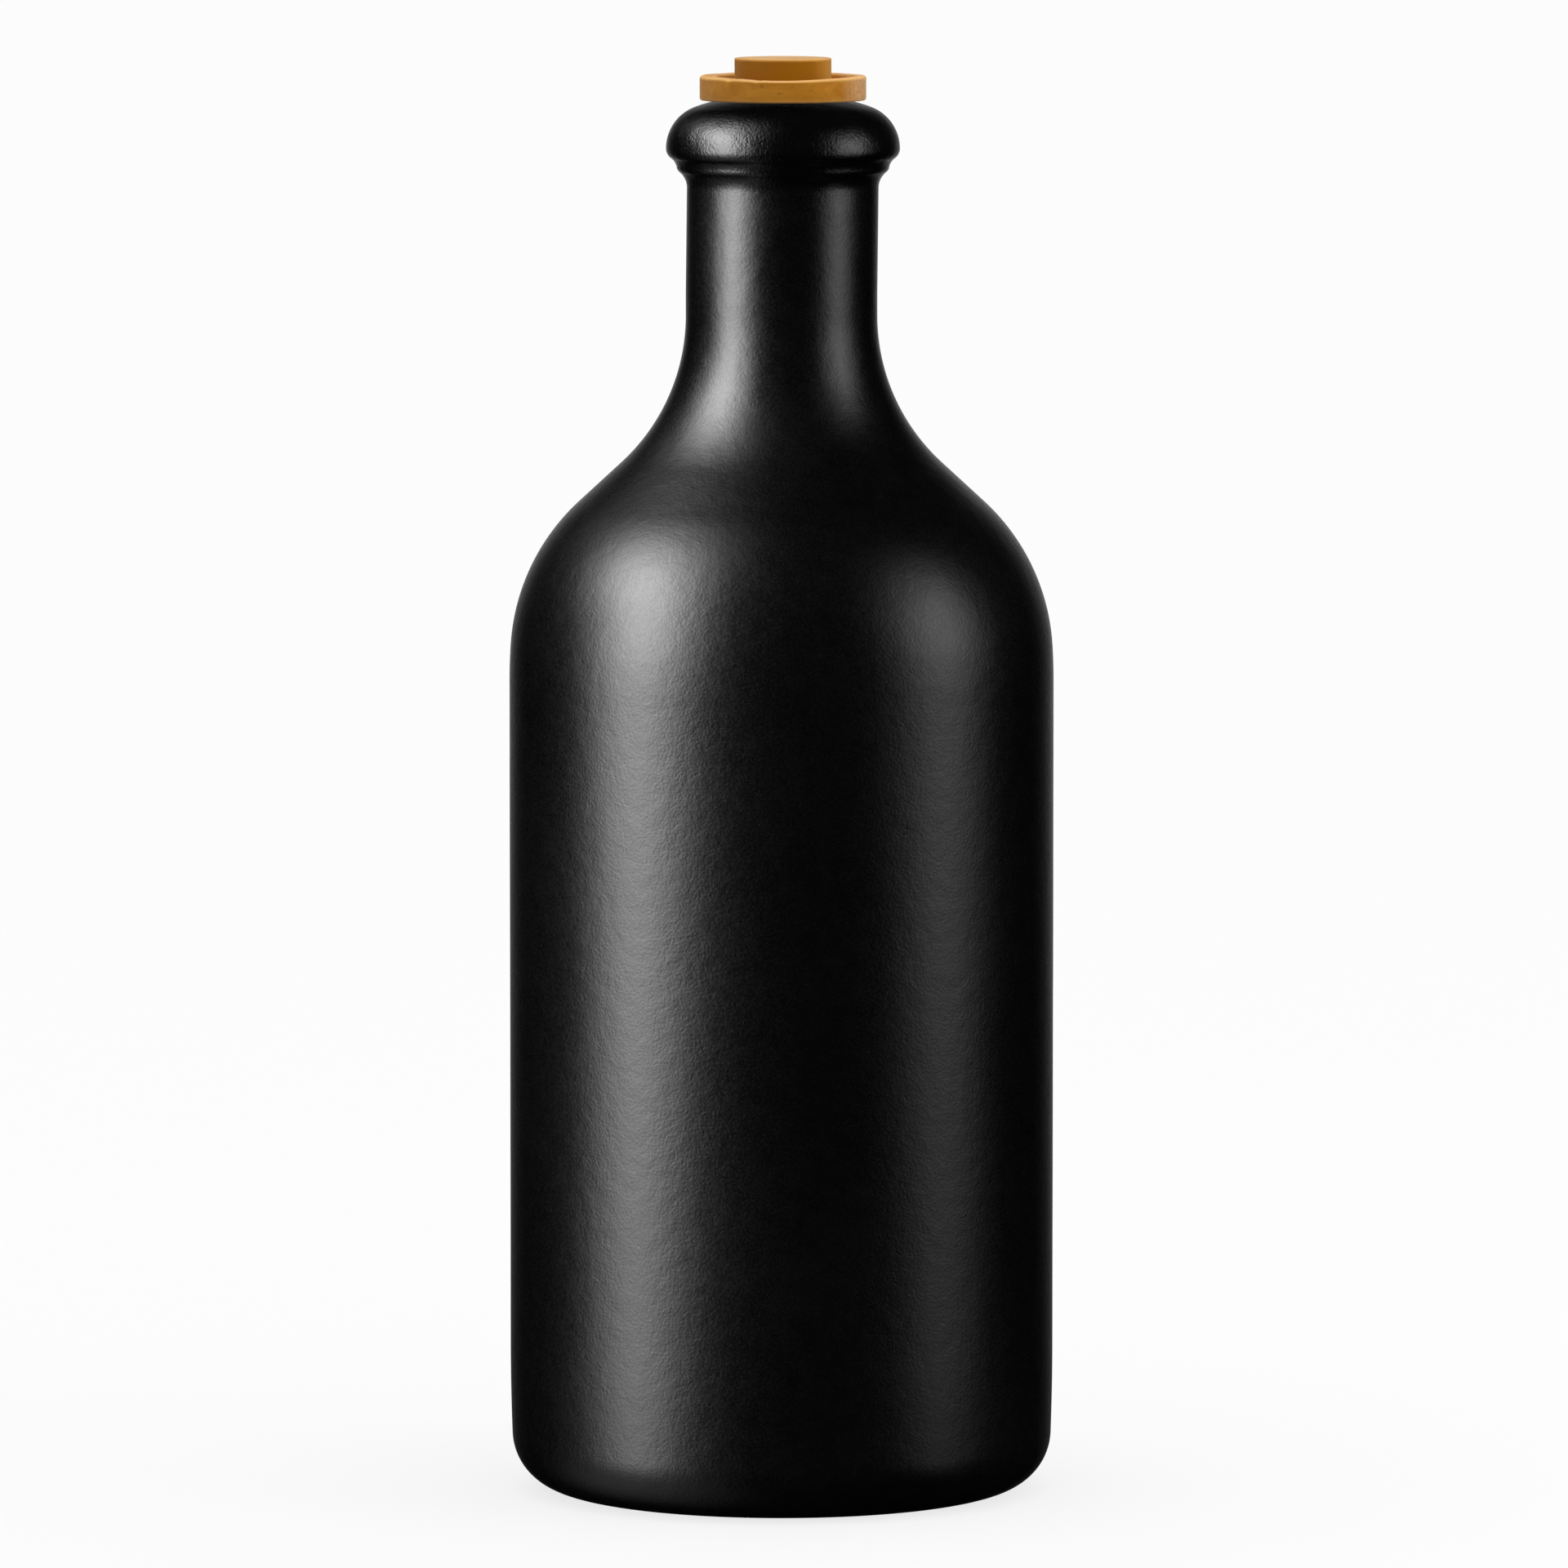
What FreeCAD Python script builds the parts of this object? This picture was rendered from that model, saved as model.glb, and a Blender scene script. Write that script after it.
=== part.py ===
import FreeCAD, Part
import math
import os
import Sketcher

# Stoneware oil bottle, shut with a turned wooden stopper. Millimetres, +Z up.
# Origin: centre of the foot, on the surface that the bottle stands on.
#   bottle   one solid of revolution: foot, wall, ogee shoulder, neck and lip
#   stopper  one turned disc with a raised rim, a sunk ring and a round knob

SIZES = [
    # foot and wall
    ("body_radius", 39.0),        # outside of the cylindrical wall
    ("panel_depth", 1.2),         # how far the underside is set up inside the foot
    ("foot_inner", 24.0),         # where the flat of the foot begins
    ("panel_round", 1.5),         # the two arcs between that panel and the foot
    ("corner_round", 8.3),        # foot to wall
    ("wall_sweep", 360.0),        # slow curve of the lowest part of the wall
    ("wall_start", 20.7),         # height at which the wall becomes straight
    # shoulder, from the wall up to the neck
    ("shoulder_start", 116.8),
    ("shoulder_ease", 74.0),      # first, wide arc
    ("shoulder_round", 30.4),     # outward arc
    ("slope_length", 8.3),        # straight stretch between the two bends
    ("shoulder_hollow", 28.7),    # inward arc that ends in the neck
    ("neck_start", 168.9),
    ("neck_radius", 13.7),
    # lip, from the neck up to the mouth
    ("cove_round", 2.9),          # hollow under the ring
    ("ring_radius", 15.2),        # outside of the small ring
    ("ring_round", 1.05),
    ("ring_height", 190.22),
    ("groove_round", 2.05),       # between ring and bead
    ("bead_radius", 16.72),       # widest point of the lip
    ("bead_height", 192.75),
    ("bead_lower", 1.7),
    ("bead_upper", 6.28),
    ("crown_start", 198.64),      # height where the bead turns into the flatter crown
    ("crown_round", 23.0),
    ("mouth_height", 199.65),     # flat seat that the stopper lies on
    # stopper, heights from its own underside
    ("disc_radius", 11.9),
    ("disc_height", 3.55),
    ("rim_width", 1.95),
    ("sunk_depth", 1.3),          # ring sunk between rim and knob
    ("knob_radius", 6.92),
    ("knob_rise", 2.45),          # knob above the rim
    ("rim_round", 0.4),
    ("under_round", 0.3),
    ("knob_round", 0.22),
    ("floor_round", 0.3),
]

doc = FreeCAD.newDocument("OilBottle")

sheet = doc.addObject("Spreadsheet::Sheet", "Sizes")
sheet.Label = "Sizes"
for row, (alias, value) in enumerate(SIZES, start=1):
    sheet.set("A%d" % row, alias)
    sheet.set("B%d" % row, str(value))
    sheet.setAlias("B%d" % row, alias)
doc.recompute()


def size(alias):
    return float(getattr(sheet, alias))


def origin_plane(body, role):
    for feature in body.Origin.OriginFeatures:
        if feature.Role == role:
            return feature
    raise RuntimeError("no origin plane " + role)


def new_body(label):
    body = doc.addObject("PartDesign::Body", label)
    body.Label = label
    return body


def new_sketch(body, name):
    """A sketch on the body's XZ plane: x is the radius, y is the height."""
    sketch = body.newObject("Sketcher::SketchObject", name)
    sketch.AttachmentSupport = [(origin_plane(body, "XZ_Plane"), "")]
    sketch.MapMode = "FlatFace"
    doc.recompute()
    return sketch


class Chain:
    """A profile drawn as lines and arcs, one after another.

    Each element keeps which of its two ends it is entered and left by, since
    a sketch arc always runs anticlockwise."""

    def __init__(self, sketch):
        self.sketch = sketch
        self.first = {}
        self.last = {}
        self.index = {}

    def line(self, name, a, b):
        i = self.sketch.addGeometry(
            Part.LineSegment(FreeCAD.Vector(a[0], a[1], 0), FreeCAD.Vector(b[0], b[1], 0)), False)
        self.index[name], self.first[name], self.last[name] = i, 1, 2
        return i

    def arc(self, name, centre, radius, start, end):
        """start and end are angles in the direction of travel."""
        low, high = min(start, end), max(start, end)
        circle = Part.Circle(FreeCAD.Vector(centre[0], centre[1], 0), FreeCAD.Vector(0, 0, 1), radius)
        i = self.sketch.addGeometry(Part.ArcOfCircle(circle, low, high), False)
        forward = end > start
        self.index[name] = i
        self.first[name], self.last[name] = (1, 2) if forward else (2, 1)
        return i

    def join(self, kind, one, two):
        self.sketch.addConstraint(Sketcher.Constraint(
            kind, self.index[one], self.last[one], self.index[two], self.first[two]))

    def direction(self, kind, name):
        self.sketch.addConstraint(Sketcher.Constraint(kind, self.index[name]))

    def on_axis(self, name, point):
        self.sketch.addConstraint(Sketcher.Constraint("PointOnObject", self.index[name], point, -2))

    def bound(self, kind, args, start_value, expression):
        """A dimension whose value is read from the sheet."""
        i = self.sketch.addConstraint(Sketcher.Constraint(kind, *(list(args) + [start_value])))
        words = expression.split()
        self.sketch.setExpression("Constraints[%d]" % i, " ".join(
            "<<Sizes>>." + word if word[0].isalpha() else word for word in words))
        return i

    def radius(self, name, alias):
        self.bound("Radius", [self.index[name]], size(alias), alias)

    def x_of(self, name, point, value, expression):
        self.bound("DistanceX", [-1, 1, self.index[name], point], value, expression)

    def y_of(self, name, point, value, expression):
        self.bound("DistanceY", [-1, 1, self.index[name], point], value, expression)


def finish_sketch(sketch, name):
    doc.recompute()
    if sketch.solve() != 0:
        raise RuntimeError(name + ": the sketch doesn't solve")
    if not sketch.FullyConstrained:
        raise RuntimeError(name + ": the sketch isn't fully constrained")
    if not sketch.Shape.Wires or not sketch.Shape.Wires[0].isClosed():
        raise RuntimeError(name + ": the profile isn't closed")


def revolve(body, sketch, name):
    feature = body.newObject("PartDesign::Revolution", name)
    feature.Profile = sketch
    feature.ReferenceAxis = (sketch, ["V_Axis"])
    feature.Angle = 360.0
    body.Tip = feature
    doc.recompute()
    return feature


def two_circle_meet(centre_a, reach_a, centre_b, reach_b, outward):
    """The point at those two distances from two centres, on the side asked for."""
    dx, dy = centre_b[0] - centre_a[0], centre_b[1] - centre_a[1]
    gap = math.hypot(dx, dy)
    along = (gap * gap + reach_a * reach_a - reach_b * reach_b) / (2.0 * gap)
    off = math.sqrt(reach_a * reach_a - along * along) * outward
    return (centre_a[0] + (along * dx + off * dy) / gap,
            centre_a[1] + (along * dy - off * dx) / gap)


def angle_to(centre, point):
    return math.atan2(point[1] - centre[1], point[0] - centre[0])


def shoulder_angles(wide, out, slope, hollow, run, rise):
    """Turn of the wide arc and of the slope, from vertical, so that the four
    elements cover the given run inward and rise. Newton's method."""
    slope_turn, ease_turn = 0.82, 0.07
    for _ in range(60):
        cb, sb, cg, sg = (math.cos(slope_turn), math.sin(slope_turn),
                          math.cos(ease_turn), math.sin(ease_turn))
        f1 = hollow * (1 - cb) + slope * sb + out * (cg - cb) + wide * (1 - cg) - run
        f2 = hollow * sb + slope * cb + out * (sb - sg) + wide * sg - rise
        a11, a12 = hollow * sb + slope * cb + out * sb, (wide - out) * sg
        a21, a22 = hollow * cb - slope * sb + out * cb, (wide - out) * cg
        det = a11 * a22 - a12 * a21
        slope_turn -= (f1 * a22 - f2 * a12) / det
        ease_turn -= (a11 * f2 - a21 * f1) / det
    return slope_turn, ease_turn


# ---------------------------------------------------------------- bottle

bottle = new_body("bottle")
profile = new_sketch(bottle, "BottleProfile")
c = Chain(profile)

# underside: a flat panel set up inside the foot
depth, foot, rp = size("panel_depth"), size("foot_inner"), size("panel_round")
turn = math.acos(1 - depth / (2 * rp))
span = 2 * rp * math.sin(turn)
c.line("panel", (0, depth), (foot - span, depth))
c.arc("panel_edge", (foot - span, depth - rp), rp, math.pi / 2, math.pi / 2 - turn)
c.arc("foot_edge", (foot, rp), rp, 3 * math.pi / 2 - turn, 3 * math.pi / 2)

# foot corner and the slow curve of the lowest wall
R, rc_, rw, zw = size("body_radius"), size("corner_round"), size("wall_sweep"), size("wall_start")
wall_centre = (R - rw, zw)
dz = rc_ - zw
corner_centre = (wall_centre[0] + math.sqrt((rw - rc_) ** 2 - dz * dz), rc_)
meet = angle_to(wall_centre, corner_centre)
c.line("foot", (foot, 0), (corner_centre[0], 0))
c.arc("corner", corner_centre, rc_, -math.pi / 2, meet)
c.arc("low_wall", wall_centre, rw, meet, 0.0)

# straight wall and shoulder
zs, zn, rn = size("shoulder_start"), size("neck_start"), size("neck_radius")
re_, ro, ls, rh = (size("shoulder_ease"), size("shoulder_round"),
                   size("slope_length"), size("shoulder_hollow"))
b, g = shoulder_angles(re_, ro, ls, rh, R - rn, zn - zs)
ease_centre = (R - re_, zs)
out_centre = (ease_centre[0] + (re_ - ro) * math.cos(g), ease_centre[1] + (re_ - ro) * math.sin(g))
slope_low = (out_centre[0] + ro * math.cos(b), out_centre[1] + ro * math.sin(b))
slope_high = (slope_low[0] - ls * math.sin(b), slope_low[1] + ls * math.cos(b))
c.line("wall", (R, zw), (R, zs))
c.arc("ease", ease_centre, re_, 0.0, g)
c.arc("round", out_centre, ro, g, b)
c.line("slope", slope_low, slope_high)
c.arc("hollow", (rn + rh, zn), rh, math.pi + b, math.pi)

# lip: cove, ring, groove, bead, crown and mouth
rc2, rr, rg = size("cove_round"), size("ring_round"), size("groove_round")
ring_centre = (size("ring_radius") - rr, size("ring_height"))
cove_x = rn + rc2
cove_centre = (cove_x, ring_centre[1] - math.sqrt((rc2 + rr) ** 2 - (cove_x - ring_centre[0]) ** 2))
rb, zb, rl, ru = size("bead_radius"), size("bead_height"), size("bead_lower"), size("bead_upper")
low_centre, up_centre = (rb - rl, zb), (rb - ru, zb)
groove_centre = two_circle_meet(ring_centre, rr + rg, low_centre, rl + rg, 1.0)
ring_out = angle_to(ring_centre, groove_centre)
low_in = angle_to(low_centre, groove_centre)
turn_up = math.asin((size("crown_start") - zb) / ru)
rk, zm = size("crown_round"), size("mouth_height")
crown_centre = (up_centre[0] + (ru - rk) * math.cos(turn_up), up_centre[1] + (ru - rk) * math.sin(turn_up))
crown_end = math.asin((zm - crown_centre[1]) / rk)
seat = crown_centre[0] + rk * math.cos(crown_end)
c.line("neck", (rn, zn), (rn, cove_centre[1]))
c.arc("cove", cove_centre, rc2, math.pi, angle_to(cove_centre, ring_centre) % (2 * math.pi))
c.arc("ring", ring_centre, rr, angle_to(ring_centre, cove_centre), ring_out)
c.arc("groove", groove_centre, rg, ring_out + math.pi, low_in + math.pi)
c.arc("bead_low", low_centre, rl, low_in, 0.0)
c.arc("bead_up", up_centre, ru, 0.0, turn_up)
c.arc("crown", crown_centre, rk, turn_up, crown_end)
c.line("mouth", (seat, zm), (0, zm))
c.line("axis", (0, zm), (0, depth))

for one, two in [("panel", "panel_edge"), ("panel_edge", "foot_edge"), ("foot_edge", "foot"),
                 ("foot", "corner"), ("corner", "low_wall"), ("low_wall", "wall"),
                 ("wall", "ease"), ("ease", "round"), ("round", "slope"), ("slope", "hollow"),
                 ("hollow", "neck"), ("neck", "cove"), ("cove", "ring"), ("ring", "groove"),
                 ("groove", "bead_low"), ("bead_low", "bead_up"), ("bead_up", "crown")]:
    c.join("Tangent", one, two)
for one, two in [("crown", "mouth"), ("mouth", "axis"), ("axis", "panel")]:
    c.join("Coincident", one, two)
for name in ("panel", "foot", "mouth"):
    c.direction("Horizontal", name)
for name in ("wall", "neck"):
    c.direction("Vertical", name)
c.on_axis("panel", 1)
c.on_axis("mouth", 2)

for name, alias in [("panel_edge", "panel_round"), ("foot_edge", "panel_round"),
                    ("corner", "corner_round"), ("low_wall", "wall_sweep"),
                    ("ease", "shoulder_ease"), ("round", "shoulder_round"),
                    ("hollow", "shoulder_hollow"), ("cove", "cove_round"),
                    ("ring", "ring_round"), ("groove", "groove_round"),
                    ("bead_low", "bead_lower"), ("bead_up", "bead_upper"),
                    ("crown", "crown_round")]:
    c.radius(name, alias)
c.y_of("panel", 1, depth, "panel_depth")
c.x_of("foot", 1, foot, "foot_inner")
profile.addConstraint(Sketcher.Constraint("PointOnObject", c.index["foot"], 1, -1))
c.x_of("wall", 1, R, "body_radius")
c.y_of("wall", 1, zw, "wall_start")
c.y_of("wall", 2, zs, "shoulder_start")
c.bound("Distance", [c.index["slope"]], ls, "slope_length")
c.x_of("neck", 1, rn, "neck_radius")
c.y_of("neck", 1, zn, "neck_start")
c.x_of("ring", 3, ring_centre[0], "ring_radius - ring_round")
c.y_of("ring", 3, ring_centre[1], "ring_height")
c.x_of("bead_up", 1, rb, "bead_radius")
c.y_of("bead_low", 3, zb, "bead_height")
profile.addConstraint(Sketcher.Constraint("Horizontal", c.index["bead_low"], 3, c.index["bead_up"], 3))
c.y_of("bead_up", 2, size("crown_start"), "crown_start")
c.y_of("mouth", 1, zm, "mouth_height")
finish_sketch(profile, "bottle")
revolve(bottle, profile, "BottleTurned")

# ---------------------------------------------------------------- stopper

stopper = new_body("stopper")
turned = new_sketch(stopper, "StopperProfile")
s = Chain(turned)
rd, hd, wr, ds = size("disc_radius"), size("disc_height"), size("rim_width"), size("sunk_depth")
rk2, hk = size("knob_radius"), size("knob_rise")
corners = [("under", (0, 0)), ("edge", (rd, 0)), ("rim", (rd, hd)), ("rim_in", (rd - wr, hd)),
           ("sunk", (rd - wr, hd - ds)), ("knob_side", (rk2, hd - ds)),
           ("knob_top", (rk2, hd + hk)), ("centre", (0, hd + hk))]
for i, (name, point) in enumerate(corners):
    s.line(name, point, corners[(i + 1) % len(corners)][1])
for i, (name, point) in enumerate(corners):
    s.join("Coincident", name, corners[(i + 1) % len(corners)][0])
for name in ("under", "rim", "sunk", "knob_top"):
    s.direction("Horizontal", name)
for name in ("edge", "rim_in", "knob_side", "centre"):
    s.direction("Vertical", name)
turned.addConstraint(Sketcher.Constraint("Coincident", s.index["under"], 1, -1, 1))
s.x_of("edge", 1, rd, "disc_radius")
s.y_of("edge", 2, hd, "disc_height")
s.x_of("rim_in", 1, rd - wr, "disc_radius - rim_width")
s.y_of("rim_in", 2, hd - ds, "disc_height - sunk_depth")
s.x_of("knob_side", 1, rk2, "knob_radius")
s.y_of("knob_side", 2, hd + hk, "disc_height + knob_rise")
finish_sketch(turned, "stopper")
base = revolve(stopper, turned, "StopperTurned")


def circle_edges(feature, wanted):
    """Names of the full circular edges with these radii and heights."""
    names = []
    for radius, height in wanted:
        found = [i for i, edge in enumerate(feature.Shape.Edges, start=1)
                 if isinstance(edge.Curve, Part.Circle)
                 and abs(edge.Curve.Radius - radius) < 1e-4
                 and abs(edge.Curve.Center.z - height) < 1e-4]
        if len(found) != 1:
            raise RuntimeError("edge at radius %g, height %g: %d found" % (radius, height, len(found)))
        names.append("Edge%d" % found[0])
    return names


def round_edges(body, feature, name, wanted, alias):
    fillet = body.newObject("PartDesign::Fillet", name)
    fillet.Base = (feature, circle_edges(feature, wanted))
    fillet.Radius = size(alias)
    fillet.setExpression("Radius", "<<Sizes>>." + alias)
    body.Tip = fillet
    doc.recompute()
    return fillet


f = round_edges(stopper, base, "RimRound", [(rd, hd), (rd - wr, hd)], "rim_round")
f = round_edges(stopper, f, "UnderRound", [(rd, 0.0)], "under_round")
f = round_edges(stopper, f, "KnobRound", [(rk2, hd + hk)], "knob_round")
f = round_edges(stopper, f, "FloorRound", [(rd - wr, hd - ds), (rk2, hd - ds)], "floor_round")

# the stopper lies on the flat seat of the mouth
stopper.setExpression("Placement.Base.z", "<<Sizes>>.mouth_height")

# ---------------------------------------------------------------- checks and files

doc.recompute()
for obj in doc.Objects:
    if "Invalid" in obj.State or "Error" in obj.State:
        raise RuntimeError("%s failed: %s" % (obj.Name, obj.State))

os.makedirs("parts", exist_ok=True)
for body in (bottle, stopper):
    shape = body.Shape
    if shape.isNull() or not shape.isValid() or len(shape.Solids) != 1:
        raise RuntimeError(body.Label + ": no single valid solid")
    box = shape.BoundBox
    print("%s: volume %.1f mm3, x %.3f..%.3f, y %.3f..%.3f, z %.3f..%.3f" % (
        body.Label, shape.Volume, box.XMin, box.XMax, box.YMin, box.YMax, box.ZMin, box.ZMax))
for body in (bottle, stopper):
    body.Shape.exportStep("parts/%s.step" % body.Label)
print("shoulder turns %.2f and %.2f degrees, seat radius %.2f mm" % (
    math.degrees(g), math.degrees(b), seat))
overlap = bottle.Shape.common(stopper.Shape).Volume
print("overlap of the two solids %.6f mm3" % overlap)
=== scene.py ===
import math

import bpy
import numpy as np
from mathutils import Matrix, Vector


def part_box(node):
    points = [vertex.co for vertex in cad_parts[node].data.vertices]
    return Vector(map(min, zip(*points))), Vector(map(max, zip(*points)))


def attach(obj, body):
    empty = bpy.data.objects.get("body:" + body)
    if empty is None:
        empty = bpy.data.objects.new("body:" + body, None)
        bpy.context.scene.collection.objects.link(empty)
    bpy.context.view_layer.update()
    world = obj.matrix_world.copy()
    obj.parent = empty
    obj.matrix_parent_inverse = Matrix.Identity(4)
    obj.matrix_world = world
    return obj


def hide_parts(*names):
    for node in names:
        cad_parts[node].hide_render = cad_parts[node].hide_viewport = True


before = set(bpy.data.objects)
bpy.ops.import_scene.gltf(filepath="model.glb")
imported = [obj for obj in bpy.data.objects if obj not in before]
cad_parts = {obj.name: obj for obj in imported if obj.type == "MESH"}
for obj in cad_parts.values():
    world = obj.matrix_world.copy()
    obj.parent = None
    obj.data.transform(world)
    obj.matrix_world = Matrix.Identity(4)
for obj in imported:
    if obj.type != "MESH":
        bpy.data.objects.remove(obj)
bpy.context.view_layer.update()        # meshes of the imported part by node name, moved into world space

MM = 0.001
rng = np.random.RandomState(20)

# ------------------------------------------------------------------ profiles
# Every profile is a chain of points (radius, height) in millimetres, made from
# named sizes by lines and tangent arcs, the same construction as the solids.


def run(a, b, step):
    """Points from a to b, without a."""
    n = max(1, int(math.ceil(math.hypot(b[0] - a[0], b[1] - a[1]) / step)))
    t = np.arange(1, n + 1) / n
    return np.c_[a[0] + (b[0] - a[0]) * t, a[1] + (b[1] - a[1]) * t]


def bend(centre, radius, start, end, step, least=6):
    """Points on an arc from angle start to end, without the first."""
    n = max(least, int(math.ceil(abs(end - start) * radius / step)))
    t = start + (end - start) * np.arange(1, n + 1) / n
    return np.c_[centre[0] + radius * np.cos(t), centre[1] + radius * np.sin(t)]


def bottle_profile(top, step=0.8):
    R, rc, rw, zw = 39.0, 8.3, 360.0, 20.7
    depth, foot, rp = 1.2, 24.0, 1.5
    zs, zn, rn = 116.8, 168.9, 13.7
    ease, out, slope, hollow = 74.0, 30.4, 8.3, 28.7
    cove, ring_r, ring, ring_z, groove = 2.9, 15.2, 1.05, 190.22, 2.05
    bead_r, bead_z, low, up, crown_z, crown = 16.72, 192.75, 1.7, 6.28, 198.64, 23.0
    pts = [np.array([[0.02, depth]])]
    # underside panel and foot
    turn = math.acos(1 - depth / (2 * rp))
    inner = foot - 2 * rp * math.sin(turn)
    pts.append(run((0.02, depth), (inner, depth), 1.6))
    pts.append(bend((inner, depth - rp), rp, math.pi / 2, math.pi / 2 - turn, 0.3))
    pts.append(bend((foot, rp), rp, 1.5 * math.pi - turn, 1.5 * math.pi, 0.3))
    # corner and low wall
    wc = (R - rw, zw)
    cc = (wc[0] + math.sqrt((rw - rc) ** 2 - (rc - zw) ** 2), rc)
    meet = math.atan2(cc[1] - wc[1], cc[0] - wc[0])
    pts.append(run((foot, 0.0), (cc[0], 0.0), 0.9))
    pts.append(bend(cc, rc, -math.pi / 2, meet, 0.55))
    pts.append(bend(wc, rw, meet, 0.0, step))
    # wall and shoulder
    b, g = 0.82, 0.07
    for _ in range(60):
        cb, sb, cg, sg = math.cos(b), math.sin(b), math.cos(g), math.sin(g)
        f1 = hollow * (1 - cb) + slope * sb + out * (cg - cb) + ease * (1 - cg) - (R - rn)
        f2 = hollow * sb + slope * cb + out * (sb - sg) + ease * sg - (zn - zs)
        a11, a12 = (hollow + out) * sb + slope * cb, (ease - out) * sg
        a21, a22 = (hollow + out) * cb - slope * sb, (ease - out) * cg
        det = a11 * a22 - a12 * a21
        b, g = b - (f1 * a22 - f2 * a12) / det, g - (a11 * f2 - a21 * f1) / det
    ec = (R - ease, zs)
    oc = (ec[0] + (ease - out) * math.cos(g), ec[1] + (ease - out) * math.sin(g))
    lo = (oc[0] + out * math.cos(b), oc[1] + out * math.sin(b))
    hi = (lo[0] - slope * math.sin(b), lo[1] + slope * math.cos(b))
    pts.append(run((R, zw), (R, zs), step))
    pts.append(bend(ec, ease, 0.0, g, step))
    pts.append(bend(oc, out, g, b, step))
    pts.append(run(lo, hi, step))
    pts.append(bend((rn + hollow, zn), hollow, math.pi + b, math.pi, step))
    # lip
    rcn = (ring_r - ring, ring_z)
    vx = rn + cove
    vc = (vx, rcn[1] - math.sqrt((cove + ring) ** 2 - (vx - rcn[0]) ** 2))
    lc, uc = (bead_r - low, bead_z), (bead_r - up, bead_z)
    dx, dy = lc[0] - rcn[0], lc[1] - rcn[1]
    gap, ra, rb = math.hypot(dx, dy), ring + groove, low + groove
    al = (gap * gap + ra * ra - rb * rb) / (2 * gap)
    off = math.sqrt(ra * ra - al * al)
    gc = (rcn[0] + (al * dx + off * dy) / gap, rcn[1] + (al * dy - off * dx) / gap)
    ring_out = math.atan2(gc[1] - rcn[1], gc[0] - rcn[0])
    low_in = math.atan2(gc[1] - lc[1], gc[0] - lc[0])
    up_turn = math.asin((crown_z - bead_z) / up)
    kc = (uc[0] + (up - crown) * math.cos(up_turn), uc[1] + (up - crown) * math.sin(up_turn))
    end = math.asin((top - kc[1]) / crown)
    pts.append(run((rn, zn), (rn, vc[1]), step))
    pts.append(bend(vc, cove, math.pi, math.pi + math.atan2(vc[1] - rcn[1], vc[0] - rcn[0]), 0.3))
    pts.append(bend(rcn, ring, math.atan2(vc[1] - rcn[1], vc[0] - rcn[0]), ring_out, 0.12))
    pts.append(bend(gc, groove, ring_out + math.pi, low_in + math.pi, 0.12))
    pts.append(bend(lc, low, low_in, 0.0, 0.2))
    pts.append(bend(uc, up, 0.0, up_turn, 0.35))
    pts.append(bend(kc, crown, up_turn, end, 0.35))
    seat = kc[0] + crown * math.cos(end)
    pts.append(run((seat, top), (0.02, top), 1.2))
    return np.vstack(pts)


def rounded(corners, step=0.25):
    """A polyline of (radius, height, rounding) with its corners rounded."""
    pts = [np.array([[corners[0][0], corners[0][1]]])]
    at = np.array(corners[0][:2], float)
    for i in range(1, len(corners)):
        p = np.array(corners[i][:2], float)
        rad = corners[i][2]
        if i == len(corners) - 1 or rad == 0:
            pts.append(run(at, p, step))
            at = p
            continue
        a = np.array(corners[i - 1][:2], float) - p
        b = np.array(corners[i + 1][:2], float) - p
        a, b = a / np.linalg.norm(a), b / np.linalg.norm(b)
        s, e = p + a * rad, p + b * rad          # right-angled corners
        c = p + (a + b) * rad
        pts.append(run(at, s, step))
        t0 = math.atan2(s[1] - c[1], s[0] - c[0])
        t1 = math.atan2(e[1] - c[1], e[0] - c[0])
        turn = (t1 - t0 + math.pi) % (2 * math.pi) - math.pi
        pts.append(bend(c, rad, t0, t0 + turn, 0.08, 6))
        at = e
    return np.vstack(pts)


def waves(count, low, high, scale_r, seed_rng):
    """Smooth uneven field on (angle, height): sum of plane waves with whole
    numbers of turns round the axis. low and high are wavelengths in mm."""
    lam = np.exp(seed_rng.uniform(math.log(low), math.log(high), count))
    ang = seed_rng.uniform(0, 2 * math.pi, count)
    k = 2 * math.pi / lam
    m = np.round(k * np.cos(ang) * scale_r)
    kz = k * np.sin(ang)
    ph = seed_rng.uniform(0, 2 * math.pi, count)
    amp = lam ** 0.6
    amp /= math.sqrt((amp ** 2).sum() / 2)

    def field(theta, z):
        out = np.zeros(np.broadcast(theta, z).shape)
        for i in range(count):
            out += amp[i] * np.sin(m[i] * theta + kz[i] * z + ph[i])
        return np.clip(out / 2.6, -1, 1)
    return field


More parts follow.
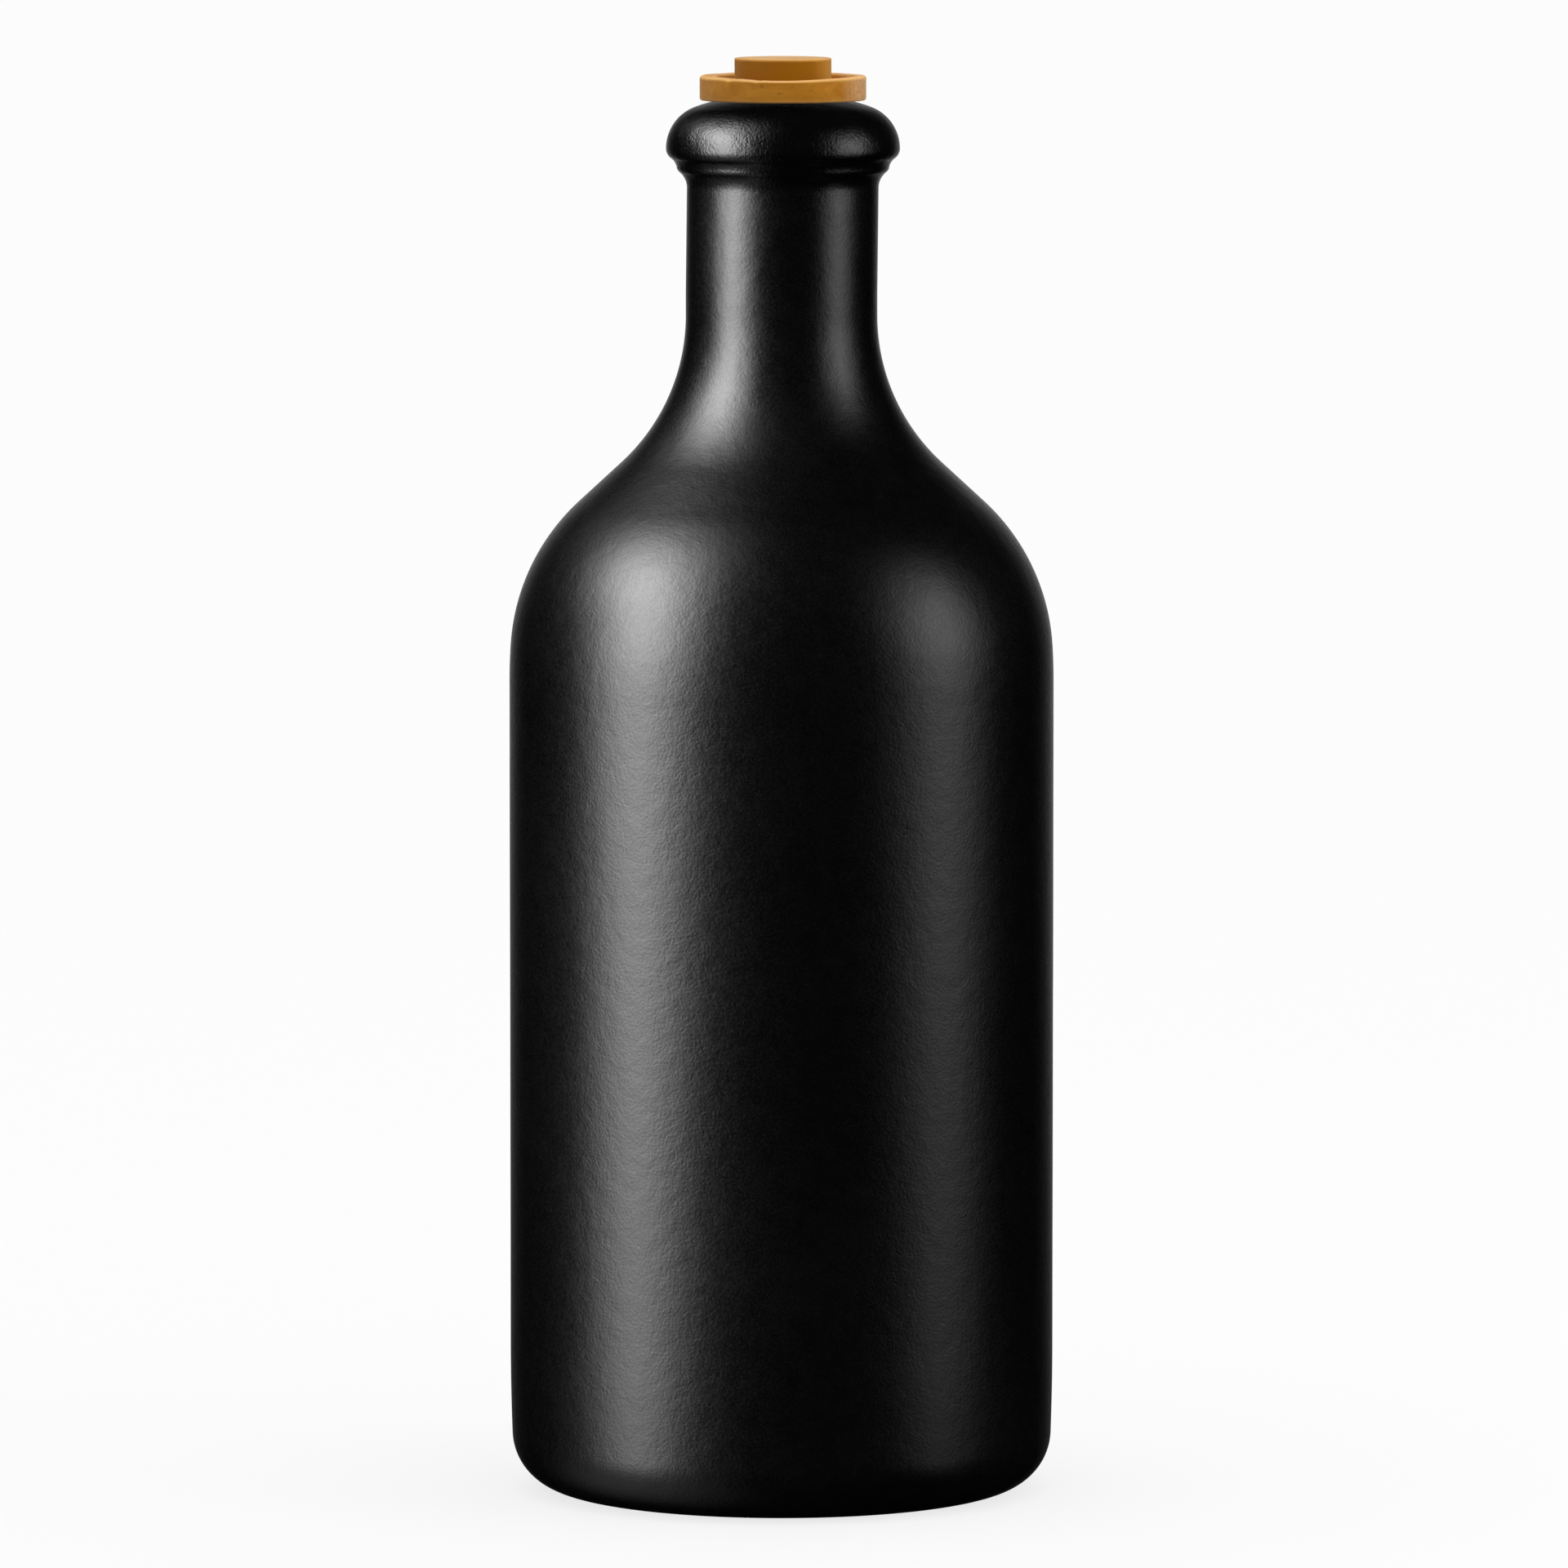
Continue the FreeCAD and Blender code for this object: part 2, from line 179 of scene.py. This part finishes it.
def revolve(name, profile, segments, shape=None, drift=None):
    """A closed mesh of revolution. shape(theta, r, z) gives moved (r, z), and drift(z) how far
    the rings sit off the axis."""
    theta = 2 * math.pi * np.arange(segments) / segments
    T, R = np.meshgrid(theta, profile[:, 0])
    Z = np.repeat(profile[:, 1][:, None], segments, 1)
    if shape is not None:
        R, Z = shape(T, R, Z)
    off = 0 * Z if drift is None else drift(Z)
    co = np.stack([R * np.sin(T) + off, -R * np.cos(T), Z], -1).reshape(-1, 3) * MM
    rows = len(profile)
    i = np.arange(rows - 1)[:, None] * segments
    j = np.arange(segments)[None, :]
    k = (j + 1) % segments
    quads = np.stack([i + j, i + k, i + segments + k, i + segments + j], -1).reshape(-1, 4)
    verts = np.vstack([co, [[off[0, 0] * MM, 0, profile[0, 1] * MM], [off[-1, 0] * MM, 0, profile[-1, 1] * MM]]])
    lo, hi = len(co), len(co) + 1
    last = (rows - 1) * segments
    jj = np.arange(segments)
    kk = (jj + 1) % segments
    fan_lo = np.stack([np.full(segments, lo), kk, jj], -1)
    fan_hi = np.stack([np.full(segments, hi), last + jj, last + kk], -1)
    mesh = bpy.data.meshes.new(name)
    mesh.from_pydata(verts.tolist(), [], quads.tolist() + fan_lo.tolist() + fan_hi.tolist())
    mesh.update()
    mesh.shade_smooth()
    obj = bpy.data.objects.new(name, mesh)
    bpy.context.scene.collection.objects.link(obj)
    return obj, T, R, Z


def paint(obj, name, values, extra=2):
    """A float attribute, one value per vertex of the rings; the two poles copy their neighbours."""
    values = np.asarray(values, np.float32).reshape(-1)
    layer = obj.data.attributes.new(name, "FLOAT", "POINT")
    layer.data.foreach_set("value", np.r_[values, values[0], values[-1]].astype(np.float32))


# ------------------------------------------------------------------ node helpers


class Nodes:
    def __init__(self, name):
        self.mat = bpy.data.materials.new(name)
        self.mat.use_nodes = True
        self.t = self.mat.node_tree
        self.t.nodes.clear()
        self.out = self.add("ShaderNodeOutputMaterial")
        self.bsdf = self.add("ShaderNodeBsdfPrincipled")
        self.link(self.bsdf.outputs[0], self.out.inputs["Surface"])

    def add(self, kind, **values):
        n = self.t.nodes.new(kind)
        for key, value in values.items():
            if hasattr(n, key):
                setattr(n, key, value)
            else:
                n.inputs[key.replace("_", " ")].default_value = value
        return n

    def link(self, a, b):
        self.t.links.new(a, b)

    def coords(self, scale=(1, 1, 1), rotation=(0, 0, 0)):
        c = self.add("ShaderNodeTexCoord")
        m = self.add("ShaderNodeMapping")
        m.inputs["Scale"].default_value = scale
        m.inputs["Rotation"].default_value = rotation
        self.link(c.outputs["Object"], m.inputs["Vector"])
        return m.outputs["Vector"]

    def noise(self, vector, scale, detail=2.0, rough=0.5, distortion=0.0):
        n = self.add("ShaderNodeTexNoise")
        n.inputs["Scale"].default_value = scale
        n.inputs["Detail"].default_value = detail
        n.inputs["Roughness"].default_value = rough
        n.inputs["Distortion"].default_value = distortion
        self.link(vector, n.inputs["Vector"])
        return n.outputs["Fac"] if "Fac" in n.outputs else n.outputs[0]

    def ramp(self, value, stops):
        n = self.add("ShaderNodeValToRGB")
        e = n.color_ramp.elements
        while len(e) < len(stops):
            e.new(0.5)
        for i, (pos, col) in enumerate(stops):
            e[i].position = pos
            e[i].color = (*col, 1) if len(col) == 3 else (col[0], col[0], col[0], 1)
        self.link(value, n.inputs["Fac"])
        return n.outputs["Color"]

    def map(self, value, a, b, c, d):
        n = self.add("ShaderNodeMapRange")
        for k, v in zip(("From Min", "From Max", "To Min", "To Max"), (a, b, c, d)):
            n.inputs[k].default_value = v
        self.link(value, n.inputs["Value"])
        return n.outputs["Result"]

    def math(self, op, a, b=None):
        n = self.add("ShaderNodeMath")
        n.operation = op
        for i, v in enumerate((a, b)):
            if v is None:
                continue
            if isinstance(v, (int, float)):
                n.inputs[i].default_value = v
            else:
                self.link(v, n.inputs[i])
        return n.outputs[0]

    def mix(self, fac, a, b, mode="MIX"):
        n = self.add("ShaderNodeMix")
        n.data_type = "RGBA"
        n.blend_type = mode
        if isinstance(fac, (int, float)):
            n.inputs["Factor"].default_value = fac
        else:
            self.link(fac, n.inputs["Factor"])
        for sock, v in ((n.inputs[6], a), (n.inputs[7], b)):
            if isinstance(v, (tuple, list)):
                sock.default_value = (*v, 1) if len(v) == 3 else v
            else:
                self.link(v, sock)
        return n.outputs[2]

    def attribute(self, name):
        n = self.add("ShaderNodeAttribute")
        n.attribute_name = name
        return n.outputs["Fac"]

    def bump(self, height, distance, strength=1.0, normal=None):
        n = self.add("ShaderNodeBump")
        n.inputs["Distance"].default_value = distance
        n.inputs["Strength"].default_value = strength
        self.link(height, n.inputs["Height"])
        if normal is not None:
            self.link(normal, n.inputs["Normal"])
        return n.outputs["Normal"]


# ------------------------------------------------------------------ materials


def glaze():
    """Black satin glaze with a fine orange-peel surface."""
    m = Nodes("black_glaze")
    v = m.coords()
    slow = m.noise(v, 42.0, 3.0, 0.55)
    mid = m.noise(v, 420.0, 3.0, 0.5)
    peel = m.noise(v, 2600.0, 2.0, 0.5)
    grit = m.noise(m.coords(rotation=(0.4, 0.2, 0.7)), 2900.0, 1.0, 0.5)
    foot, lip, high = (m.attribute(n) for n in ("foot", "lip", "high"))
    # colour: near black, a little browner where the glaze lies thinner
    tone = m.ramp(m.math("ADD", m.math("MULTIPLY", slow, 0.6), m.math("MULTIPLY", mid, 0.4)),
                  [(0.35, (0.0009, 0.0009, 0.0009)), (0.65, (0.0019, 0.0018, 0.0017))])
    col = m.mix(foot, tone, (0.012, 0.011, 0.010))
    m.link(col, m.bsdf.inputs["Base Color"])
    # gloss: slow patches, and a little less in the hollows of the peel
    rough = m.map(m.math("ADD", m.math("MULTIPLY", slow, 0.5), m.math("MULTIPLY", mid, 0.5)),
                  0.3, 0.7, 0.250, 0.286)
    rough = m.math("ADD", rough, m.map(grit, 0.2, 0.8, 0.054, -0.054))
    rough = m.math("ADD", rough, m.math("MULTIPLY", foot, 0.3))
    rough = m.math("ADD", rough, m.math("MULTIPLY", lip, -0.055))
    m.link(rough, m.bsdf.inputs["Roughness"])
    m.bsdf.inputs["IOR"].default_value = 1.5
    # the peel is coarser and deeper on the lip, where the glaze ran thicker, and finer on the shoulder and neck
    n = m.bump(m.math("MULTIPLY", mid, m.map(lip, 0.0, 1.0, 1.0, 1.8)), 0.000054, 1.0)
    n = m.bump(m.math("MULTIPLY", peel, m.math("ADD", m.map(lip, 0.0, 1.0, 1.0, 1.75), m.map(high, 0.0, 1.0, 0.0, -0.34))), 0.000034, 1.0, n)
    m.link(n, m.bsdf.inputs["Normal"])
    return m.mat


def wood():
    """Turned hardwood with an amber stain. The grain runs along X, so both X ends show end grain; the right end is
    painted much paler than the left, as painted light from the right.
    """
    m = Nodes("stopper_wood")
    plain = m.coords()
    fibre = m.noise(m.coords(scale=(0.12, 1.0, 1.0)), 2400.0, 3.0, 0.6)
    band = m.noise(m.coords(scale=(0.10, 1.0, 0.8)), 520.0, 2.0, 0.5, 0.8)
    blot = m.noise(plain, 210.0, 2.5, 0.55)
    pore = m.noise(m.coords(scale=(0.50, 1.0, 1.0)), 2300.0, 0.0, 0.5)
    speck = m.noise(plain, 2300.0, 1.0, 0.6)
    warp = m.noise(plain, 160.0, 2.0, 0.5)
    knob, edge, end, painted_light_height, top = (m.attribute(n) for n in ("knob", "edge", "end", "painted_light_height", "top"))
    tone = m.math("ADD", m.math("MULTIPLY", band, 0.55), m.math("MULTIPLY", blot, 0.45))
    base = m.ramp(tone, [(0.32, (0.385, 0.148, 0.0120)), (0.50, (0.448, 0.180, 0.0170)), (0.68, (0.530, 0.236, 0.026))])
    grain = m.map(fibre, 0.3, 0.7, 0.93, 1.06)
    base = m.mix(1.0, base, grain, "MULTIPLY")
    # painted shade and light: darker towards the base by the black lip, lighter towards the top as lit from above
    base = m.mix(1.0, base, m.map(painted_light_height, 0.0, 1.0, 0.92, 1.12), "MULTIPLY")
    base = m.mix(1.0, base, m.map(pore, 0.755, 0.80, 1.0, 0.72), "MULTIPLY")
    # knob side: painted light, paler on its right side and a little on its left, where the right-hand lamp falls
    base = m.mix(m.math("MULTIPLY", knob, 0.85), base, m.mix(m.attribute("painted_light_knob_side"), (0.270, 0.105, 0.0020), (0.425, 0.205, 0.023)))
    # up-facing faces painted paler: painted light from above and painted sheen at the grazing view
    base = m.mix(m.math("MULTIPLY", top, 0.85), base, m.mix(1.0, m.ramp(tone, [(0.32, (0.475, 0.272, 0.094)), (0.68, (0.600, 0.362, 0.136))]), grain, "MULTIPLY"))
    pale = m.ramp(speck, [(0.36, (0.46, 0.245, 0.100)), (0.60, (0.64, 0.375, 0.185))])
    # pale X ends: partly end grain, partly painted light, much stronger on the right end
    base = m.mix(m.math("MULTIPLY", end, m.map(blot, 0.3, 0.7, 0.55, 1.0)), base, pale)
    # pale rounded edges: partly wear, partly painted highlight
    base = m.mix(m.math("MULTIPLY", edge, 0.85), base, (0.76, 0.44, 0.145))
    m.link(base, m.bsdf.inputs["Base Color"])
    m.link(m.map(fibre, 0.3, 0.7, 0.58, 0.70), m.bsdf.inputs["Roughness"])
    m.bsdf.inputs["IOR"].default_value = 1.45
    m.bsdf.inputs["Specular IOR Level"].default_value = 0.02
    m.bsdf.inputs["Sheen Weight"].default_value = 0.12
    m.bsdf.inputs["Sheen Roughness"].default_value = 0.45
    n = m.bump(fibre, 0.000018, 1.0)
    n = m.bump(speck, 0.000010, 1.0, n)
    n = m.bump(warp, 0.00005, 1.0, n)
    m.link(n, m.bsdf.inputs["Normal"])
    return m.mat


# ------------------------------------------------------------------ bottle

lo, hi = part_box("bottle")
foot_z, mouth_z = lo.z / MM, hi.z / MM
profile = bottle_profile(mouth_z)
uneven = waves(26, 22.0, 90.0, 39.0, rng)
ripple = waves(60, 3.2, 9.0, 39.0, rng)


def bottle_shape(theta, r, z):
    # the cast wall is never quite true: it only ever lies inside the nominal form
    body = np.clip((r - 26.0) / 8.0, 0, 1) * np.clip((z - 1.0) / 6.0, 0, 1)
    slim = np.clip((z - 150.0) / 20.0, 0, 1) * np.clip((199.0 - z) / 2.0, 0, 1)
    weight = np.maximum(body, 0.45 * slim)
    dent = 0.030 * (1 - uneven(theta, z)) / 2 + 0.006 * (1 - ripple(theta, z)) / 2
    return r - weight * dent, z


def off_centre(z):
    """The lip, and the stopper on it, sit a hair off the axis."""
    return 0.20 * np.clip((z - 172.0) / 18.0, 0, 1)


bottle, T, R, Z = revolve("bottle_glazed", profile, 256, bottle_shape, off_centre)
foot = np.clip((0.35 - Z) / 0.3, 0, 1) * ((R > 23.2) & (R < 31.5))
paint(bottle, "foot", foot)
paint(bottle, "lip", np.clip((Z - 187.0) / 3.0, 0, 1))
paint(bottle, "high", np.clip((Z - 112.0) / 25.0, 0, 1) * np.clip((188.0 - Z) / 3.0, 0, 1))
bottle.data.materials.append(glaze())
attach(bottle, "root")
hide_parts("bottle")

# ------------------------------------------------------------------ stopper

lo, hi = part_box("stopper")
base_z, top_z = lo.z / MM, hi.z / MM
rd = hi.x / MM
hd, wr, ds, rk = 3.55, 1.95, 1.3, 6.92
corners = [
    (0.02, base_z, 0), (rd, base_z, 0.30), (rd, base_z + hd, 0.40), (rd - wr, base_z + hd, 0.40),
    (rd - wr, base_z + hd - ds, 0.30), (rk, base_z + hd - ds, 0.30), (rk, top_z, 0.16), (0.02, top_z, 0),
]
turned = rounded(corners)
turn_uneven = waves(14, 5.0, 26.0, rd, rng)
turn_lines = waves(30, 0.9, 3.0, rd, rng)


def stopper_shape(theta, r, z):
    near = np.clip((r - 9.0) / 0.8, 0, 1)
    high = np.clip((z - (base_z + hd - 0.7)) / 0.5, 0, 1)
    # rim a little wavy, worn lower in places; everything stays inside the nominal form
    worn = 0.13 * (1 - turn_uneven(theta, 0 * z)) / 2
    worn = worn + 0.32 * np.exp(-((((theta + math.pi) % (2 * math.pi)) - math.pi - 0.06) / 0.62) ** 2)   # most at the front
    # the hollow is cut a little off centre, so the rim is thinner on one side
    wall = rd - wr
    lean = np.where(r > wall, np.clip((rd - r) / wr, 0, 1), np.clip((r - rk - 0.4) / (wall - rk - 0.4), 0, 1))
    r = r + 0.55 * lean * (z > base_z + 0.5) * np.sin(theta)
    z2 = z - near * high * worn
    r2 = r - np.clip(r / rd, 0, 1) ** 2 * (0.030 * (1 - turn_uneven(theta, z * 2.0)) / 2 + 0.010 * (1 - turn_lines(theta, z)) / 2)
    # two small nicks in the rim's outer edge
    for where, wide, deep in ((-0.72, 0.60, 0.13), (-0.33, 0.50, 0.07)):
        nick = np.exp(-(((theta - (2 * math.pi + where)) * rd) / wide) ** 2)
        z2 = z2 - near * high * nick * deep
        r2 = r2 - near * high * nick * deep * 0.6
    return r2, z2


stopper, T, R, Z = revolve("stopper_turned", turned, 288, stopper_shape, off_centre)
ring_r, ring_z = turned[:, 0][:, None] + 0 * T, turned[:, 1][:, None] + 0 * T
paint(stopper, "knob", np.clip((7.25 - ring_r) / 0.15, 0, 1) * (ring_z > base_z + 1.0) * np.clip((top_z - 0.12 - ring_z) / 0.15, 0, 1))
# pale rounded edges of the stopper: partly wear, partly a painted highlight where light catches them
edge = 0 * T
for cx, cz, w, most in [(rd, base_z, 0.45, 0.35), (rd, base_z + hd, 0.5, 1), (rd - wr, base_z + hd, 0.45, 1), (rk, top_z, 0.22, 0.7)]:
    edge = np.maximum(edge, most * np.clip(1.3 - np.hypot(ring_r - cx, ring_z - cz) / w, 0, 1))
edge = edge * (0.60 + 0.40 * np.clip(0.3 + 1.4 * np.cos(T), 0, 1))     # strongest at the front: partly wear, partly a painted highlight on the lit front rim
paint(stopper, "edge", edge)
# X ends of the disc: end grain, painted far stronger on the right as painted light from the right-hand lamp
side = np.sin(T) * np.clip((ring_r - 4.0) / 2.0, 0, 1)
paint(stopper, "end", (ring_r > 8.0) * np.where(side > 0, 1.0, 0.16) * np.clip((np.abs(side) - 0.70) / 0.18, 0, 1))
# painted light on the knob's side: strongest on the right, weak on the left
paint(stopper, "painted_light_knob_side", (ring_r < 8.0) * (np.clip((np.sin(T) - 0.62) / 0.3, 0, 1) + 0.25 * np.clip((-np.sin(T) - 0.80) / 0.2, 0, 1)))
# painted shade low on the stopper, painted light high on it
paint(stopper, "painted_light_height", np.clip((ring_z - base_z) / hd, 0, 1))
# painted light on the knob top, and less on the rim top
paint(stopper, "top", (ring_r < rk - 0.2) * (ring_z > top_z - 0.1) + 0.45 * (ring_r > rd - wr + 0.3) * (ring_r < rd - 0.3) * (ring_z > base_z + hd - 0.1))
stopper.data.materials.append(wood())
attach(stopper, "root")
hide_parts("stopper")
stopper.visible_glossy = False      # the black lip shows no reflection of it

# ------------------------------------------------------------------ floor

bpy.ops.mesh.primitive_plane_add(size=60.0, location=(0, 0, foot_z * MM - 0.00002))
floor = bpy.context.object
floor.name = "studio_floor"
fm = Nodes("studio_white")
fm.bsdf.inputs["Base Color"].default_value = (0.150, 0.150, 0.150, 1)
fm.bsdf.inputs["Roughness"].default_value = 1.0
fm.bsdf.inputs["Specular IOR Level"].default_value = 0.0
fm.bsdf.inputs["Emission Color"].default_value = (1, 1, 1, 1)
fm.bsdf.inputs["Emission Strength"].default_value = 0.78
floor.data.materials.append(fm.mat)
floor.visible_glossy = False
floor.visible_diffuse = False
floor.visible_shadow = False

# ------------------------------------------------------------------ light

# a white studio: even white behind the object, and brighter from above on matt surfaces
world = bpy.data.worlds.new("studio")
bpy.context.scene.world = world
world.use_nodes = True
wt = world.node_tree
wt.nodes.clear()
w_out = wt.nodes.new("ShaderNodeOutputWorld")
w_bg = wt.nodes.new("ShaderNodeBackground")
w_cam = wt.nodes.new("ShaderNodeBackground")
w_mix = wt.nodes.new("ShaderNodeMixShader")
w_path = wt.nodes.new("ShaderNodeLightPath")
w_dir = wt.nodes.new("ShaderNodeTexCoord")
w_sep = wt.nodes.new("ShaderNodeSeparateXYZ")
w_up = wt.nodes.new("ShaderNodeMapRange")
w_cam.inputs["Color"].default_value = (1, 1, 1, 1)
w_cam.inputs["Strength"].default_value = 0.98
w_bg.inputs["Color"].default_value = (1, 1, 1, 1)
w_up.inputs["From Min"].default_value, w_up.inputs["From Max"].default_value = 0.0, 1.0
w_up.inputs["To Min"].default_value, w_up.inputs["To Max"].default_value = 0.35, 1.78
wt.links.new(w_dir.outputs["Generated"], w_sep.inputs["Vector"])
wt.links.new(w_sep.outputs["Z"], w_up.inputs["Value"])
wt.links.new(w_up.outputs["Result"], w_bg.inputs["Strength"])
wt.links.new(w_path.outputs["Is Camera Ray"], w_mix.inputs["Fac"])
wt.links.new(w_bg.outputs["Background"], w_mix.inputs[1])
wt.links.new(w_cam.outputs["Background"], w_mix.inputs[2])
wt.links.new(w_mix.outputs["Shader"], w_out.inputs["Surface"])
world.cycles_visibility.glossy = False

AIM = Vector((0, 0, 0.110))
REACH = 2.6          # a panel ends this many half-widths of its soft falloff from its middle


def softbox(name, azimuth, elevation, width, height, roll, radiance, diffuse=False, distance=0.6):
    """A softbox round the object, brightest in its middle and fading out to its edges.
    Azimuth 0 is towards the camera and positive is to the left. Width and height are the
    spread of its light, as tangents seen from the object."""
    az, el, ro = (math.radians(a) for a in (azimuth, elevation, roll))
    n = Vector((-math.cos(el) * math.sin(az), -math.cos(el) * math.cos(az), math.sin(el)))
    ex = Vector((-math.cos(az), math.sin(az), 0))
    ey = n.cross(ex)
    if ey.z < 0:
        ey = -ey
    e1 = math.cos(ro) * ex + math.sin(ro) * ey
    e2 = -math.sin(ro) * ex + math.cos(ro) * ey
    if e1.cross(e2).dot(n) < 0:
        e1 = -e1
    data = bpy.data.lights.new(name, "AREA")
    data.shape = "RECTANGLE"
    data.size, data.size_y = 2 * REACH * width * distance, 2 * REACH * height * distance
    data.energy = radiance * math.pi * data.size * data.size_y
    data.use_nodes = True
    t = data.node_tree
    emit = t.nodes["Emission"]
    geo = t.nodes.new("ShaderNodeNewGeometry")
    mid = t.nodes.new("ShaderNodeVectorMath")
    mid.operation = "MULTIPLY_ADD"
    mid.inputs[1].default_value = (2 * REACH, 2 * REACH, 0)
    mid.inputs[2].default_value = (-REACH, -REACH, 0)
    t.links.new(geo.outputs["Parametric"], mid.inputs[0])
    dot = t.nodes.new("ShaderNodeVectorMath")
    dot.operation = "DOT_PRODUCT"
    t.links.new(mid.outputs[0], dot.inputs[0])
    t.links.new(mid.outputs[0], dot.inputs[1])
    half = t.nodes.new("ShaderNodeMath")
    half.operation = "MULTIPLY"
    half.inputs[1].default_value = -0.5
    t.links.new(dot.outputs["Value"], half.inputs[0])
    fall = t.nodes.new("ShaderNodeMath")
    fall.operation = "EXPONENT"
    t.links.new(half.outputs[0], fall.inputs[0])
    t.links.new(fall.outputs[0], emit.inputs["Strength"])
    lamp = bpy.data.objects.new(name, data)
    lamp.matrix_world = Matrix((
        (e1.x, e2.x, n.x, 0), (e1.y, e2.y, n.y, 0), (e1.z, e2.z, n.z, 0), (0, 0, 0, 1)))
    lamp.location = AIM + n * distance
    lamp.visible_diffuse = diffuse
    lamp.visible_camera = False
    bpy.context.scene.collection.objects.link(lamp)
    return lamp


softbox("key_high", 75.2, 36.9, 0.276, 0.187, 17.4, 9.50)
softbox("key_low", 59.9, 3.2, 0.260, 0.213, -46.3, 7.40)
softbox("key_mid", 62.7, 16.3, 0.221, 0.231, -66.7, 5.55)
softbox("key_top", 65.5, 40.9, 0.267, 0.203, 59.0, 4.10)
softbox("key_side", 95.2, 56.4, 0.425, 0.165, -23.7, 0.85)
softbox("key_foot", 62.2, -23.2, 0.157, 0.121, -67.5, 2.00)
softbox("fill_right", -71.0, 14.5, 0.194, 0.297, 4.0, 2.67, diffuse=True)
softbox("fill_high", -76.9, 27.2, 0.124, 0.068, -46.1, 0.80)
softbox("fill_foot", -69.5, -25.6, 0.149, 0.062, 50.5, 0.25)
softbox("back_left", 175.5, 3.0, 0.223, 0.220, -16.2, 0.45)
softbox("back_right", -171.1, 3.0, 0.239, 0.236, 26.8, 0.29)
softbox("table_bounce", 69.4, -40.4, 0.301, 0.437, 47.3, 0.50)

# ------------------------------------------------------------------ camera

cam = bpy.data.objects.new("camera", bpy.data.cameras.new("camera"))
bpy.context.scene.collection.objects.link(cam)
cam.data.sensor_width = 36.0
cam.data.lens = 302.4
cam.data.clip_start, cam.data.clip_end = 0.05, 200.0
cam.location = (0.00035, -1.880, 0.2820)
aim = Vector((0.00035, 0.0, 0.1016))
cam.rotation_mode = "QUATERNION"
cam.rotation_quaternion = (aim - cam.location).to_track_quat("-Z", "Y")
bpy.context.scene.camera = cam

bpy.context.scene.view_settings.view_transform = "Standard"
bpy.context.scene.view_settings.look = "None"
bpy.context.scene.view_settings.exposure = 0.0
bpy.context.scene.view_settings.gamma = 1.0
